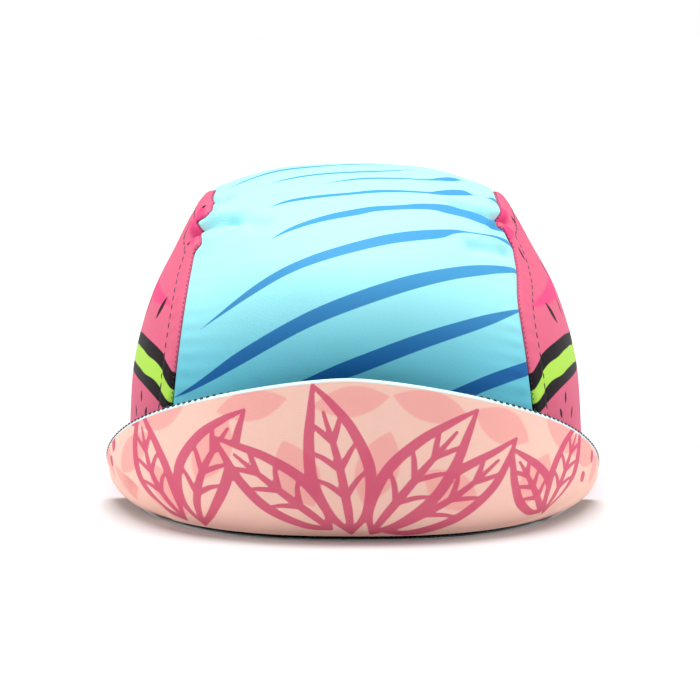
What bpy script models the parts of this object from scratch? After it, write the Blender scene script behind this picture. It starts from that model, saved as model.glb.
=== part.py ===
"""Cycling cap with its peak turned up: a three-panel crown, a sweatband and a peak with two cloth faces.

X runs across the cap, -Y is its front and +Z is up. The cap stands on Z = 0, on the lower edge of its sweatband.
Every size below is in millimetres. make_sheet turns them into Blender's metres.
"""

import math

import bpy
import numpy as np

MM = 0.001

# Crown
CROWN_HEIGHT = 114.2
HEM_HEIGHT = 2.0
APEX_Y = 17.4  # the crown's highest point lies behind the middle of the hem
CLOTH = 1.2  # doubled and seamed cloth of the panels
SEAM_GAP = 0.6  # between two panels that are sewn together
LEAN = 1.6  # how far the top of the soft crown leans towards -X

# Level rings of the crown from the hem to the apex. front and back are measured from APEX_Y.
RING_COLUMNS = ("height", "half_width", "front", "back", "squareness")
RINGS = (
    (HEM_HEIGHT, 82.4, 108.5, 85.0, 2.50),
    (24.0, 82.0, 109.5, 85.5, 2.50),
    (47.0, 80.0, 109.0, 85.0, 2.50),
    (69.0, 73.6, 105.5, 81.5, 2.45),
    (86.5, 64.6, 97.0, 74.0, 2.45),
    (99.0, 57.6, 82.5, 62.5, 2.50),
    (104.5, 52.0, 70.0, 53.5, 2.45),
    (109.5, 40.0, 54.0, 42.0, 2.35),
    (112.7, 28.0, 33.5, 27.5, 2.20),
    (113.8, 14.0, 16.3, 14.0, 2.10),
    (CROWN_HEIGHT, 0.0, 0.0, 0.0, 2.00),
)

# The two seams run from the front hem over the top to the back hem
SEAM_AT_HEM = 63.0  # half the centre panel's width there
SEAM_AT_TOP = 49.0
SEAM_POWER = 1.5  # how late the strip narrows on its way up
PANEL_ROWS = 60  # quads along a seam. The side panels have a third of them on each of three edges
PANEL_COLUMNS = 16  # quads across the centre panel, crowded towards the seams by a sine of this many radians
PANEL_TURN = 1.15

# Where the puckers push the seams sideways on the front of the crown. A positive shift is outwards.
WAVE_COLUMNS = ("side", "height", "spread", "shift")
SEAM_WAVES = (
    (-1, 101.5, 3.8, -2.6),
    (1, 82.0, 12.0, 0.8),
    (1, 96.8, 3.6, -2.5),
)

# Puckers where the seams turn over the front of the crown, and the slack cloth behind them.
# Each runs along a straight line from start to end. A negative rise is a dent.
FOLD_COLUMNS = ("start", "end", "width", "rise")
FOLDS = (
    ((-55.0, -33.0, 97.0), (-37.0, -49.0, 102.0), 5.0, -2.4),
    ((-51.0, -26.0, 102.0), (-38.0, -38.0, 104.5), 4.6, 1.5),
    ((-49.0, -14.0, 105.0), (-40.0, -10.0, 108.0), 5.0, -1.2),
    ((38.0, -31.0, 104.5), (52.0, -23.0, 100.0), 5.2, -2.1),
    ((49.0, -35.0, 97.5), (54.0, -38.0, 94.0), 5.0, 1.5),
    ((38.0, -56.0, 96.0), (53.0, -44.0, 91.0), 5.0, -1.0),
)

# The centre panel's rows crowd together at this share of its length, over this spread
PUCKERS_ALONG = 0.37
PUCKERS_SPREAD = 0.10
CROWDING = 0.8

# Sweatband
BAND_HEIGHT = 28.0
BAND_CLOTH = 1.4
BAND_GAP = 0.35  # between the band and the crown
BAND_FOOT = 3.0  # the band's lowest part is upright, so that its edge is flat
BAND_MIDDLE = 15.0
BAND_COLUMNS = 60

# Peak, measured along the hem from its middle and up from its seam
PEAK_REACH = 113.0  # from the middle of the front to the tip, along the hem
PEAK_SEAM_REACH = 57.0  # from here to the tip, its lower edge rises away from the hem
PEAK_RISE = 53.5
PEAK_SKEW = 0.01  # its highest point lies this share of the reach towards -X
PEAK_FOOT_RISE = 2.3
PEAK_FOOT_OUT = 2.3
PEAK_BELLY_RISE = 23.0
PEAK_BELLY_OUT = 9.5
PEAK_LEAN_BACK = 5.0
PEAK_CLOTH = 1.2
PEAK_FACE_GAP = 0.35
PEAK_ROWS = 9
PEAK_COLUMNS = 40
PEAK_CROWDING = 0.45  # how far the columns crowd towards the tips, from 0 to 1

# The soft peak's two sides differ a little. A smaller flatness gives a fuller free edge.
PEAK_SIDE_COLUMNS = ("side", "tip_out", "tip_rise", "flatness")
PEAK_SIDES = (
    (-1, 8.4, 9.0, 0.90),
    (1, 6.8, 9.0, 0.97),
)

# Powers that bend the peak's curves
TIP_POWERS = (1.0, 0.8)  # the lower edge, from the seam's end to the tip
EDGE_POWER = 1.7  # the free edge, from its highest point to the tip
BELLY_POWER = 2.5  # the roll above the seam
LEAN_POWER = 1.5  # the lean back towards the crown

WELD_DISTANCE = 0.02
HEM_STEP = 2.0  # the hem's direction is taken over this distance to each side
NORMAL_STEP = 0.4
APEX_ZONE = 2.0  # the crown counts as level this near its apex
FINE = 1801  # points on a line that is worked out before it is divided

COLOURS = {
    "centre_panel": (0.38, 0.82, 0.90, 1.0),
    "side_panel": (0.88, 0.22, 0.36, 1.0),
    "sweatband": (0.015, 0.015, 0.018, 1.0),
    "peak_under_face": (0.95, 0.62, 0.54, 1.0),
    "peak_upper_face": (0.45, 0.85, 0.92, 1.0),
}
CLOTH_ROUGHNESS = 0.85


def named(columns, rows):
    return [dict(zip(columns, row)) for row in rows]


def smooth_columns(rows, at):
    """The rows' values at fractional row numbers, on one smooth curve through them all."""
    rows = np.asarray(rows, float)
    at = np.clip(np.asarray(at, float), 0.0, len(rows) - 1.0)
    first = np.minimum(at.astype(int), len(rows) - 2)
    part = (at - first)[..., None]
    padded = np.concatenate([2 * rows[:1] - rows[1:2], rows, 2 * rows[-1:] - rows[-2:-1]])
    before, here, after, beyond = (padded[first + k] for k in range(4))
    return 0.5 * (
        2 * here
        + (after - before) * part
        + (2 * before - 5 * here + 4 * after - beyond) * part**2
        + (3 * here - before - 3 * after + beyond) * part**3
    )


def ring(level):
    """The columns of RINGS at a level, counted in rows from the hem."""
    values = smooth_columns(RINGS, level)
    return {name: values[..., k] for k, name in enumerate(RING_COLUMNS)}


LEVELS = np.linspace(0.0, len(RINGS) - 1.0, FINE)
LEVEL_HEIGHTS = np.maximum.accumulate(ring(LEVELS)["height"])


def level_of(height):
    return np.interp(height, LEVEL_HEIGHTS, LEVELS)


def seam_half_width(height):
    return SEAM_AT_HEM - (SEAM_AT_HEM - SEAM_AT_TOP) * (height / CROWN_HEIGHT) ** SEAM_POWER


def reach_at(share_of_width, squareness):
    """How much of a ring's length is left at a share of its half width."""
    return (1 - np.clip(share_of_width, 0, 1) ** squareness) ** (1 / squareness)


def resample(points, count):
    """The polyline's points spaced evenly along it, but closer where the puckers are."""
    steps = np.linalg.norm(np.diff(points, axis=0), axis=1)
    share = np.cumsum(steps) / steps.sum()
    steps *= 1 + CROWDING * np.exp(-(((share - PUCKERS_ALONG) / PUCKERS_SPREAD) ** 2))
    along = np.concatenate([[0.0], np.cumsum(steps)])
    wanted = np.linspace(0.0, along[-1], count)
    return np.stack([np.interp(wanted, along, points[:, k]) for k in range(3)], axis=1)


def strip_x(share, height, front):
    """Where the centre panel's line at a share of its half width lies. A share of 1 or -1 is a seam."""
    x = share * seam_half_width(height)
    for wave in named(WAVE_COLUMNS, SEAM_WAVES):
        if front and share * wave["side"] > 0:
            push = np.exp(-(((height - wave["height"]) / wave["spread"]) ** 2))
            x = x + wave["side"] * wave["shift"] * share**2 * push
    return x


def crown_line(share):
    """A line over the crown from the front hem to the back, at a share of the centre panel's half width."""
    halves = []
    for front in (True, False):
        all_levels = ring(LEVELS)
        inside = np.abs(strip_x(share, all_levels["height"], front)) <= all_levels["half_width"]
        top = LEVELS[inside][-1]
        at = ring(top * (1 - np.linspace(1.0, 0.0, FINE) ** 3))
        x = strip_x(share, at["height"], front)
        left = reach_at(np.abs(x) / np.maximum(at["half_width"], 1e-6), at["squareness"])
        left[-1] = 0.0
        y = APEX_Y - at["front"] * left if front else APEX_Y + at["back"] * left
        halves.append(np.stack([x, y, at["height"]], axis=1))
    return resample(np.concatenate([halves[0], halves[1][-2::-1]]), PANEL_ROWS + 1)


def side_point(y, z):
    """The point of the crown's +X side that a look from the side shows at y and z."""
    at = ring(level_of(z))
    length = np.where(y < APEX_Y, at["front"], at["back"])
    x = at["half_width"] * reach_at(np.abs(y - APEX_Y) / length, at["squareness"])
    return np.stack([x, y, z], axis=-1)


def hem_line(first_y, last_y, count):
    """The hem's +X side between two places, evenly spaced."""
    turn = np.linspace(0.0, math.pi, FINE)
    y = (first_y + last_y) / 2 - (last_y - first_y) / 2 * np.cos(turn)
    line = side_point(y, np.full(FINE, HEM_HEIGHT))
    along = np.concatenate([[0.0], np.cumsum(np.linalg.norm(np.diff(line, axis=0), axis=1))])
    even_y = np.interp(np.linspace(0.0, along[-1], count), along, y)
    return side_point(even_y, np.full(count, HEM_HEIGHT))


def shape_value(points):
    """Under 1 inside the crown's outer surface, and over 1 outside it."""
    x, y, z = np.moveaxis(points, -1, 0)
    at = ring(level_of(z))
    length = np.where(y < APEX_Y, at["front"], at["back"])
    across = np.abs(x) / np.maximum(at["half_width"], 1.0)
    along = np.abs(y - APEX_Y) / np.maximum(length, 1.0)
    return across ** at["squareness"] + along ** at["squareness"]


def crown_normals(points):
    inner = points.copy()
    inner[..., 2] = np.clip(inner[..., 2], HEM_HEIGHT + NORMAL_STEP, CROWN_HEIGHT - 2 * NORMAL_STEP)
    slopes = []
    for axis in range(3):
        shift = np.zeros(3)
        shift[axis] = NORMAL_STEP
        slopes.append(shape_value(inner + shift) - shape_value(inner - shift))
    normals = np.stack(slopes, axis=-1)
    normals /= np.linalg.norm(normals, axis=-1, keepdims=True)
    flat = np.clip((points[..., 2:] - CROWN_HEIGHT) / APEX_ZONE + 1, 0, 1)
    normals = normals * (1 - flat) + np.array([0.0, 0.0, 1.0]) * flat
    return normals / np.linalg.norm(normals, axis=-1, keepdims=True)


def fold_rise(points):
    """How far the folds lift or sink the cloth at each point."""
    total = np.zeros(points.shape[:-1])
    for fold in named(FOLD_COLUMNS, FOLDS):
        start, run = np.array(fold["start"]), np.array(fold["end"]) - np.array(fold["start"])
        share = np.clip((points - start) @ run / (run @ run), 0.0, 1.0)
        away = np.linalg.norm(points - start - share[..., None] * run, axis=-1)
        total += fold["rise"] * np.exp(-((away / fold["width"]) ** 2))
    return total


def slackened(points):
    """The taut crown's points with the folds and the lean of the soft cloth."""
    moved = points + crown_normals(points) * fold_rise(points)[..., None]
    moved[..., 0] -= LEAN * (points[..., 2] / CROWN_HEIGHT) ** 2
    return moved


def centre_panel_grid():
    """Rows run from the front hem to the back, and columns from the -X seam to the +X seam."""
    turns = np.linspace(-PANEL_TURN, PANEL_TURN, PANEL_COLUMNS + 1)
    shares = np.sin(turns) / math.sin(PANEL_TURN) * (1 - SEAM_GAP / 2 / SEAM_AT_TOP)
    return slackened(np.stack([crown_line(share) for share in shares], axis=1))


def side_panel_grid(side):
    """A patch with the hem below, and the seam as its front, top and back edges. side is 1 or -1."""
    outwards = np.array([side, 1.0, 1.0])
    seam = crown_line(side * (1 + SEAM_GAP / 2 / SEAM_AT_TOP)) * outwards
    third = PANEL_ROWS // 3
    front, top, back = seam[: third + 1], seam[third : 2 * third + 1], seam[2 * third :][::-1]
    hem = hem_line(front[0, 1], back[0, 1], third + 1)
    u = np.linspace(0, 1, third + 1)[None, :, None]
    v = np.linspace(0, 1, third + 1)[:, None, None]
    across = (1 - u) * front[:, None] + u * back[:, None]
    upright = (1 - v) * hem[None] + v * top[None]
    corners = (1 - v) * ((1 - u) * hem[0] + u * hem[-1]) + v * ((1 - u) * top[0] + u * top[-1])
    patch = across + upright - corners
    grid = side_point(patch[..., 1], patch[..., 2])
    grid[-1], grid[:, 0], grid[:, -1] = top, front, back
    return slackened(grid * outwards)


def oval(inset, height, count):
    """A closed ring of the crown at a height, drawn in by inset, counted round from the back."""
    turn = np.linspace(0, 2 * math.pi, count, endpoint=False)
    at = ring(level_of(height))
    power = 2 / at["squareness"]
    across = np.sign(np.sin(turn)) * np.abs(np.sin(turn)) ** power
    along = np.sign(np.cos(turn)) * np.abs(np.cos(turn)) ** power
    length = np.where(along < 0, at["front"], at["back"]) - inset
    x = (at["half_width"] - inset) * across
    return np.stack([x, APEX_Y + length * along, np.full(count, height)], axis=1)


def sweatband_grid():
    """Rings from the flat lower edge up, inside the crown."""
    heights = (HEM_HEIGHT, BAND_FOOT, BAND_MIDDLE, BAND_HEIGHT)
    rings = [oval(CLOTH + BAND_GAP, height, BAND_COLUMNS) for height in heights]
    rings[0][:, 2] = 0.0
    rings[1][:, :2] = rings[0][:, :2]
    return np.stack(rings)


def hem_frame(along):
    """The hem's outer points at distances from the middle of its front, and the outward directions there."""
    hem = oval(0.0, HEM_HEIGHT, 2 * FINE)[:, :2]
    steps = np.linalg.norm(np.roll(hem, -1, axis=0) - hem, axis=1)
    run = np.concatenate([[0.0], np.cumsum(steps)[:-1]])
    run = run[FINE] - run

    def point(distance):
        return np.stack([np.interp(-distance, -run, hem[:, k]) for k in (0, 1)], axis=-1)

    ahead = point(along + HEM_STEP) - point(along - HEM_STEP)
    outward = np.stack([ahead[..., 1], -ahead[..., 0]], axis=-1)
    return point(along), outward / np.linalg.norm(outward, axis=-1, keepdims=True)


def peak_side(name, along):
    """A column of PEAK_SIDES for the side of each distance along the hem, blended across the middle."""
    left, right = (side[name] for side in named(PEAK_SIDE_COLUMNS, PEAK_SIDES))
    blend = np.clip(along / PEAK_REACH, -1, 1) / 2 + 0.5
    return left + (right - left) * blend**2 * (3 - 2 * blend)


def peak_out(along, rise):
    """How far the peak's under face stands out from the hem, at a distance along it and a height."""
    side = np.abs(along) / PEAK_REACH
    belly = PEAK_BELLY_OUT + (peak_side("tip_out", along) - PEAK_BELLY_OUT) * side**2
    swell = belly * (1 - np.clip(1 - rise / PEAK_BELLY_RISE, 0, 1) ** BELLY_POWER)
    above_belly = np.clip(rise - PEAK_BELLY_RISE, 0, None) / PEAK_RISE
    lean = PEAK_LEAN_BACK * (1 - side**2) * above_belly**LEAN_POWER
    return PEAK_FOOT_OUT + swell - lean


def peak_grid():
    """The peak's under face. Rows run from the seam to the free edge, and columns from -X to +X."""
    even = np.linspace(-1, 1, PEAK_COLUMNS + 1)
    share = PEAK_CROWDING * np.sin(even * math.pi / 2) + (1 - PEAK_CROWDING) * even
    along = PEAK_REACH * share
    beyond = np.clip((np.abs(along) - PEAK_SEAM_REACH) / (PEAK_REACH - PEAK_SEAM_REACH), 0, 1)
    tip_rise = peak_side("tip_rise", along)
    lower = tip_rise * (1 - (1 - beyond ** TIP_POWERS[0]) ** TIP_POWERS[1])
    skewed = share + PEAK_SKEW * (1 - share**2)
    arch = (1 - np.abs(skewed) ** EDGE_POWER) ** peak_side("flatness", along)
    upper = tip_rise + (PEAK_RISE - tip_rise) * arch
    v = np.linspace(0, 1, PEAK_ROWS + 1)[:, None]
    rise = lower + (upper - lower) * v
    along = np.broadcast_to(along, rise.shape)
    base, outward = hem_frame(along)
    place = base + outward * peak_out(along, rise)[..., None]
    return np.concatenate([place, (rise + PEAK_FOOT_RISE)[..., None]], axis=-1)


def grid_normals(grid):
    along_rows, along_columns = np.gradient(grid, axis=0), np.gradient(grid, axis=1)
    normals = np.cross(along_columns, along_rows)
    normals[:, 0], normals[:, -1] = normals[:, 1], normals[:, -2]  # the tips are single points
    return normals / np.linalg.norm(normals, axis=-1, keepdims=True)


def cloth_material(name, colour):
    material = bpy.data.materials.new(name)
    material.use_nodes = True
    shader = material.node_tree.nodes["Principled BSDF"]
    shader.inputs["Base Color"].default_value = colour
    shader.inputs["Roughness"].default_value = CLOTH_ROUGHNESS
    shader.inputs["Metallic"].default_value = 0.0
    return material


def make_sheet(name, grid, thickness, material, collection, closed=False, flip=False):
    """A cloth piece from the grid of its outer face, thickened inwards. closed joins its first and last columns."""
    rows, columns = grid.shape[:2]
    faces = []
    for row in range(rows - 1):
        for column in range(columns if closed else columns - 1):
            after = (column + 1) % columns
            corners = [row * columns + column, row * columns + after]
            corners += [(row + 1) * columns + after, (row + 1) * columns + column]
            faces.append(corners[::-1] if flip else corners)
    mesh = bpy.data.meshes.new(name)
    mesh.from_pydata((grid.reshape(-1, 3) * MM).tolist(), [], faces)
    mesh.materials.append(material)
    mesh.shade_smooth()
    sheet = bpy.data.objects.new(name, mesh)
    collection.objects.link(sheet)
    weld = sheet.modifiers.new("weld_tips", "WELD")
    weld.merge_threshold = WELD_DISTANCE * MM
    wall = sheet.modifiers.new("thickness", "SOLIDIFY")
    wall.thickness = thickness * MM
    wall.offset = -1.0
    wall.use_even_offset = True
    return sheet


def build():
    for obj in list(bpy.data.objects):
        bpy.data.objects.remove(obj)
    cap = bpy.data.collections.new("cycling_cap")
    bpy.context.scene.collection.children.link(cap)
    materials = {name: cloth_material(name, colour) for name, colour in COLOURS.items()}

    make_sheet("centre_panel", centre_panel_grid(), CLOTH, materials["centre_panel"], cap)
    for name, side in (("side_panel_left", -1), ("side_panel_right", 1)):
        make_sheet(name, side_panel_grid(side), CLOTH, materials["side_panel"], cap, flip=side < 0)

    band = sweatband_grid()
    make_sheet("sweatband", band, BAND_CLOTH, materials["sweatband"], cap, closed=True, flip=True)

    under = peak_grid()
    upper = under - grid_normals(under) * (PEAK_CLOTH + PEAK_FACE_GAP)
    make_sheet("peak_under_face", under, PEAK_CLOTH, materials["peak_under_face"], cap)
    make_sheet("peak_upper_face", upper, PEAK_CLOTH, materials["peak_upper_face"], cap)


build()
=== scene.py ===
"""Looks of a cycling cap with its peak turned up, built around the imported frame.

X runs across the cap, -Y is its front and +Z is up. Every size below is in millimetres, unless its name says
metres, and the functions that make meshes turn them into Blender's metres.
"""

import math

import bpy
import numpy as np
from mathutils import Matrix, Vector


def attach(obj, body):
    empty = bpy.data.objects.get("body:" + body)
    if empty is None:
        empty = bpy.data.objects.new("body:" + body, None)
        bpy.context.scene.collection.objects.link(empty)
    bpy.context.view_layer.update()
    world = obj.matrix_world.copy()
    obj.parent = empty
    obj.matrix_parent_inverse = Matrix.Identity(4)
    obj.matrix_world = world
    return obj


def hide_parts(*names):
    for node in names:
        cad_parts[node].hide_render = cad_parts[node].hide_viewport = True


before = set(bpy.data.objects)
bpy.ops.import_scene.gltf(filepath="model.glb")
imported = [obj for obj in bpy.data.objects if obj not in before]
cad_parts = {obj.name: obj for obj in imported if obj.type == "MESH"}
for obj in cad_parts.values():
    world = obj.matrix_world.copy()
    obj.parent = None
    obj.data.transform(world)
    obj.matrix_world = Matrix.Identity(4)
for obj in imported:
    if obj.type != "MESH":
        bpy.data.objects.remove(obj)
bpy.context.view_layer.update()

MM = 0.001
FINE = 1801  # points on a line that is worked out before it is divided

# Crown, with the values of the solids
CROWN_HEIGHT = 114.2
HEM_HEIGHT = 2.0
APEX_Y = 17.4
CLOTH = 1.2
LEAN = 1.6
RING_COLUMNS = ("height", "half_width", "front", "back", "squareness")
RINGS = (
    (HEM_HEIGHT, 82.4, 108.5, 85.0, 2.50),
    (24.0, 82.0, 109.5, 85.5, 2.50),
    (47.0, 80.0, 109.0, 85.0, 2.50),
    (69.0, 73.6, 105.5, 81.5, 2.45),
    (86.5, 64.6, 97.0, 74.0, 2.45),
    (99.0, 57.6, 82.5, 62.5, 2.50),
    (104.5, 52.0, 70.0, 53.5, 2.45),
    (109.5, 40.0, 54.0, 42.0, 2.35),
    (112.7, 28.0, 33.5, 27.5, 2.20),
    (113.8, 14.0, 16.3, 14.0, 2.10),
    (CROWN_HEIGHT, 0.0, 0.0, 0.0, 2.00),
)
SEAM_POWER = 1.5

# Seams and dents, closer to the photo than in the solids
SEAM_AT_HEM = 63.8
SEAM_AT_TOP = 50.0
WAVE_COLUMNS = ("side", "height", "spread", "shift")
SEAM_WAVES = (  # as a scratch fit to the photo's seams gave them
    (-1, 102.8, 2.9, -3.2),
    (-1, 98.0, 1.9, 1.7),
    (-1, 92.8, 2.2, -2.6),
    (1, 86.1, 7.8, 2.0),
    (1, 100.7, 2.2, 1.2),
    (1, 98.5, 2.1, -3.5),
    (1, 90.9, 2.7, 0.6),
)
FOLD_COLUMNS = ("start", "end", "width", "rise")
FOLDS = (
    ((-57.5, -25.5, 94.0), (-41.0, -41.5, 101.6), 3.0, -4.4),
    ((-41.0, -41.5, 101.6), (-30.0, -52.5, 101.0), 3.2, -2.7),
    ((-50.0, -31.0, 102.6), (-42.0, -37.5, 104.0), 2.8, 1.2),
    ((-43.0, -36.0, 105.2), (-37.0, -31.0, 106.8), 2.6, -0.7),
    ((-49.0, -13.4, 104.3), (-43.4, -18.4, 106.8), 2.6, -3.0),
    ((-50.5, -42.0, 92.0), (-46.0, -48.0, 95.0), 3.0, 0.7),
    ((55.2, -19.0, 98.3), (46.8, -29.2, 102.4), 2.8, -4.4),
    ((46.8, -29.2, 102.4), (37.2, -32.0, 105.6), 3.0, -3.8),
    ((52.0, -33.5, 97.0), (46.0, -39.0, 99.8), 2.2, 1.0),
    ((53.4, -42.0, 89.5), (41.0, -56.0, 93.5), 2.6, -2.6),
    ((48.0, -6.0, 104.4), (43.0, -10.0, 106.6), 3.0, -0.8),
)

# Peak, with the values of the solids but for its creases
PEAK_REACH = 113.0
PEAK_SEAM_REACH = 57.0
PEAK_RISE = 53.5
PEAK_SKEW = 0.01
PEAK_FOOT_RISE = 2.3
PEAK_FOOT_OUT = 2.3
PEAK_BELLY_RISE = 23.0
PEAK_BELLY_OUT = 9.5
PEAK_LEAN_BACK = 5.0
PEAK_SIDE_COLUMNS = ("side", "tip_out", "tip_rise", "flatness")
PEAK_SIDES = (
    (-1, 8.4, 9.0, 0.90),
    (1, 6.8, 9.0, 0.97),
)
TIP_POWERS = (1.0, 0.8)
EDGE_POWER = 1.7
BELLY_POWER = 2.5
LEAN_POWER = 1.5
CREASE_COLUMNS = ("start", "end", "width", "depth")
CREASES = (
    ((-84.0, 9.0), (-70.0, 2.5), 2.8, 3.2),
    ((80.0, 9.5), (72.0, 4.0), 2.6, 0.8),
)
HEM_STEP = 2.0
NORMAL_STEP = 0.4
APEX_ZONE = 2.0

# Cloth and seams, finer than in the solids
CLOTH_SHOWN = 1.0
SEAM_GAP = 0.2
CENTRE_ROWS = 360
CENTRE_COLUMNS = 126
SIDE_STEPS = 150
SIDE_TOP_FROM = 0.41  # the share of the seam at which a side panel's top edge begins
EDGE_CROWDING = 0.6
SEAM_DROP = 0.55  # how far a panel's edge rolls down into the seam
SEAM_ROLL = 0.7  # how wide that roll is
PUFF = 0.22  # the cloth swells a little beside the seam
PUFF_AT = 2.6
PUFF_WIDTH = 2.0
SEAM_STITCH_AT = 0.25
TOPSTITCH_AT = 8.4  # from the seam, on the side panels
ALLOWANCE_RISE = 0.35  # the seam allowance under the cloth lifts it this much
GROOVE_DEPTH = 0.35
GROOVE_WIDTH = 0.8
HEM_STITCH_AT = 5.0
PAINTED_LIGHT_SPAN = (50.0, 100.0)  # painted light: between these distances from the hem the centre panel's colours turn to paler, lit copies, a painted brightening of the crown's top
PUCKER_RISE = 0.22
PUCKER_LENGTH = 6.5
PUCKER_REACH = 6.0
PUCKER_START = 2.0
SLACK_RISE = 0.35

# Peak cloth
PEAK_COLUMNS = 420
PEAK_ROWS = 90
PEAK_STRIP_ROWS = 10
PEAK_CLOTH = 0.9
PEAK_FACE_GAP = 0.35
RIM_RADIUS = 1.0
RIM_SIDES = 14
RIM_STITCH_LEANS = (75.0, -34.0)  # degrees behind the rim's crest, at the peak's middle and near its tips
RIM_TURNS = (0.24, 0.42)  # the rim turns forward between these shares of the peak's reach

# Sweatband
BAND_TOP = 28.0
BAND_WALL = 1.4
BAND_GAP = 0.35
BAND_COLUMNS = 300
# How far in from its outer side and how high the band's lower part lies
BAND_PROFILE = (
    (0.0, 14.0), (0.0, 6.0), (0.0, 3.0), (0.1, 0.8), (0.4, 0.15), (0.7, 0.0), (1.0, 0.15), (1.3, 0.8), (1.4, 3.0),
)

# Thread. Each stitch has a length, a pitch and a radius.
TOPSTITCH = (2.2, 3.5, 0.22)
SEAM_STITCH = (0.7, 1.75, 0.14)
RIM_STITCH = (1.4, 2.5, 0.38)
HEM_STITCH = (2.4, 3.6, 0.22)
STITCH_SIDES = 7

FAR = 1000.0
RIM_ANGLE = math.radians(55)
WELD_DISTANCE = 0.02


def named(columns, rows):
    return [dict(zip(columns, row)) for row in rows]


def smooth_columns(rows, at):
    """The rows' values at fractional row numbers, on one smooth curve through them all."""
    rows = np.asarray(rows, float)
    at = np.clip(np.asarray(at, float), 0.0, len(rows) - 1.0)
    first = np.minimum(at.astype(int), len(rows) - 2)
    part = (at - first)[..., None]
    padded = np.concatenate([2 * rows[:1] - rows[1:2], rows, 2 * rows[-1:] - rows[-2:-1]])
    before, here, after, beyond = (padded[first + k] for k in range(4))
    return 0.5 * (
        2 * here
        + (after - before) * part
        + (2 * before - 5 * here + 4 * after - beyond) * part**2
        + (3 * here - before - 3 * after + beyond) * part**3
    )


def smoothstep(low, high, value):
    share = np.clip((value - low) / (high - low), 0, 1)
    return share**2 * (3 - 2 * share)


def bell(value, middle, width):
    return np.exp(-(((value - middle) / width) ** 2))


def crowded(count):
    """Shares from 0 to 1 that lie closer together at both ends."""
    even = np.linspace(0, 1, count + 1)
    return (1 - EDGE_CROWDING) * even + EDGE_CROWDING * (1 - np.cos(math.pi * even)) / 2


def unit(vectors):
    return vectors / np.maximum(np.linalg.norm(vectors, axis=-1, keepdims=True), 1e-9)


# Crown shape


def ring(level):
    values = smooth_columns(RINGS, level)
    return {name: values[..., k] for k, name in enumerate(RING_COLUMNS)}


LEVELS = np.linspace(0.0, len(RINGS) - 1.0, FINE)
LEVEL_HEIGHTS = np.maximum.accumulate(ring(LEVELS)["height"])


def level_of(height):
    return np.interp(height, LEVEL_HEIGHTS, LEVELS)


def seam_half_width(height):
    return SEAM_AT_HEM - (SEAM_AT_HEM - SEAM_AT_TOP) * (height / CROWN_HEIGHT) ** SEAM_POWER


def reach_at(share_of_width, squareness):
    return (1 - np.clip(share_of_width, 0, 1) ** squareness) ** (1 / squareness)


def strip_x(share, height, front):
    x = share * seam_half_width(height)
    for wave in named(WAVE_COLUMNS, SEAM_WAVES):
        if front and share * wave["side"] > 0:
            x = x + wave["side"] * wave["shift"] * share**2 * bell(height, wave["height"], wave["spread"])
    return x


def along_line(points, shares):
    """Points at shares of a polyline's length."""
    steps = np.linalg.norm(np.diff(points, axis=0), axis=1)
    along = np.concatenate([[0.0], np.cumsum(steps)])
    wanted = np.asarray(shares) * along[-1]
    return np.stack([np.interp(wanted, along, points[:, k]) for k in range(3)], axis=1)


def crown_line(share, shares_along):
    """A line over the crown from the front hem to the back, at a share of the centre panel's half width."""
    halves = []
    for front in (True, False):
        all_levels = ring(LEVELS)
        inside = np.abs(strip_x(share, all_levels["height"], front)) <= all_levels["half_width"]
        top = LEVELS[inside][-1]
        at = ring(top * (1 - np.linspace(1.0, 0.0, FINE) ** 3))
        x = strip_x(share, at["height"], front)
        left = reach_at(np.abs(x) / np.maximum(at["half_width"], 1e-6), at["squareness"])
        left[-1] = 0.0
        y = APEX_Y - at["front"] * left if front else APEX_Y + at["back"] * left
        halves.append(np.stack([x, y, at["height"]], axis=1))
    return along_line(np.concatenate([halves[0], halves[1][-2::-1]]), shares_along)


def side_point(y, z):
    at = ring(level_of(z))
    length = np.where(y < APEX_Y, at["front"], at["back"])
    x = at["half_width"] * reach_at(np.abs(y - APEX_Y) / length, at["squareness"])
    return np.stack([x, y, z], axis=-1)


def hem_line(first_y, last_y, shares):
    turn = np.linspace(0.0, math.pi, FINE)
    y = (first_y + last_y) / 2 - (last_y - first_y) / 2 * np.cos(turn)
    points = along_line(side_point(y, np.full(FINE, HEM_HEIGHT)), shares)
    return side_point(points[:, 1], np.full(len(points), HEM_HEIGHT))


def shape_value(points):
    x, y, z = np.moveaxis(points, -1, 0)
    at = ring(level_of(z))
    length = np.where(y < APEX_Y, at["front"], at["back"])
    across = np.abs(x) / np.maximum(at["half_width"], 1.0)
    along = np.abs(y - APEX_Y) / np.maximum(length, 1.0)
    return across ** at["squareness"] + along ** at["squareness"]


def crown_normals(points):
    inner = points.copy()
    inner[..., 2] = np.clip(inner[..., 2], HEM_HEIGHT + NORMAL_STEP, CROWN_HEIGHT - 2 * NORMAL_STEP)
    slopes = []
    for axis in range(3):
        shift = np.zeros(3)
        shift[axis] = NORMAL_STEP
        slopes.append(shape_value(inner + shift) - shape_value(inner - shift))
    normals = unit(np.stack(slopes, axis=-1))
    flat = np.clip((points[..., 2:] - CROWN_HEIGHT) / APEX_ZONE + 1, 0, 1)
    return unit(normals * (1 - flat) + np.array([0.0, 0.0, 1.0]) * flat)


def fold_rise(points):
    total = np.zeros(points.shape[:-1])
    for fold in named(FOLD_COLUMNS, FOLDS):
        start, run = np.array(fold["start"]), np.array(fold["end"]) - np.array(fold["start"])
        share = np.clip((points - start) @ run / (run @ run), 0.0, 1.0)
        away = np.linalg.norm(points - start - share[..., None] * run, axis=-1)
        total += fold["rise"] * bell(away, 0.0, fold["width"])
    return total


def slackened(points, extra):
    """The taut crown's points with the folds, the lean of the soft cloth and an extra rise in millimetres."""
    moved = points + crown_normals(points) * (fold_rise(points) + extra)[..., None]
    moved[..., 0] -= LEAN * (points[..., 2] / CROWN_HEIGHT) ** 2
    return moved


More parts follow.
